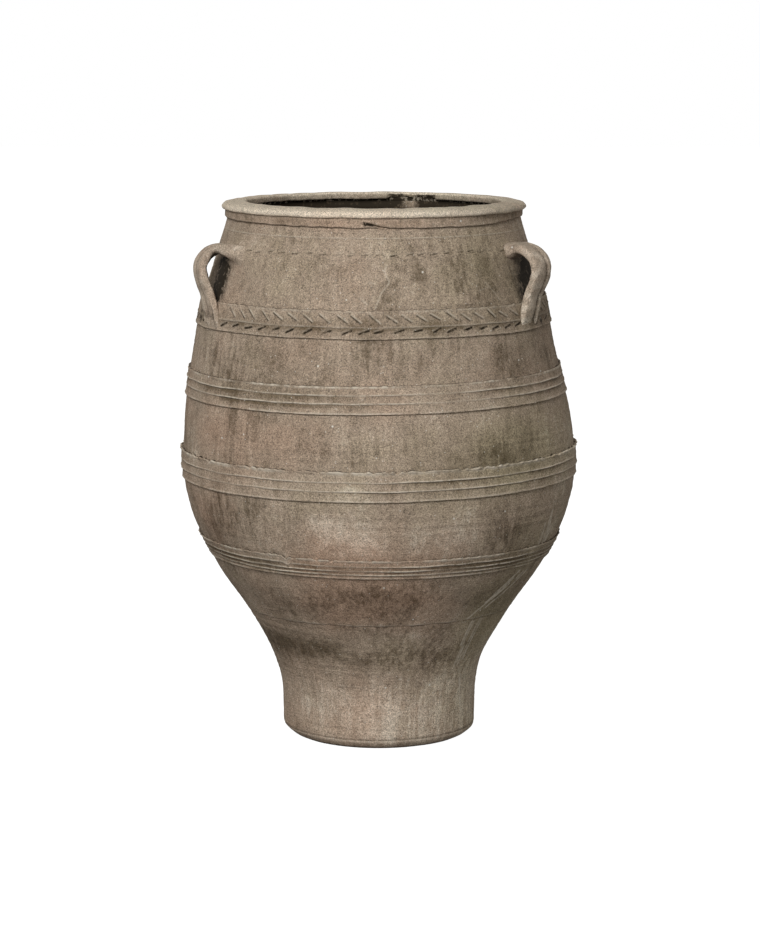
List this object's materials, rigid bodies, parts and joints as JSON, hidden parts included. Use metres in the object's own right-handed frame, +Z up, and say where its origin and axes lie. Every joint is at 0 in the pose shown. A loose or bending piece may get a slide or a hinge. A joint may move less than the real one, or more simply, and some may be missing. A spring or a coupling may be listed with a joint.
{
  "type": "storage jar",
  "caption": "Tall round earthenware storage jar with a narrow foot, wide belly with combed strips, tapering neck, broad rim and small upright strap handles.",
  "frame": {"origin": "centre of the foot, on the ground", "axes": "+Z up through the mouth, -Y towards the front of the jar, +X to the right seen from the front"},
  "size_m": [0.736, 0.736, 1],
  "materials": {
    "weathered_clay": "matt, weathered",
    "pale_clay": "matt, rubbed pale",
    "foot_clay": "matt, stained above and pale below",
    "strip_clay": "matt, light on the ridges",
    "handle_clay": "matt, smoothed by hand",
    "inner_clay": "matt, dark"
  },
  "bodies": {
    "root": {"floor_slab": "inner_clay", "foot_section": "foot_clay", "lower_belly_section": "weathered_clay", "belly_section": "weathered_clay", "upper_belly_section": "weathered_clay", "shoulder_section": "weathered_clay", "neck_section": "weathered_clay", "rim": "pale_clay", "rim_collar": "strip_clay", "herringbone_band": "strip_clay", "upper_band": "strip_clay", "belly_band": "strip_clay", "lower_band": "strip_clay", "handle_left": "handle_clay", "handle_right": "handle_clay", "handle_back": "handle_clay"}
  },
  "joints": []
}
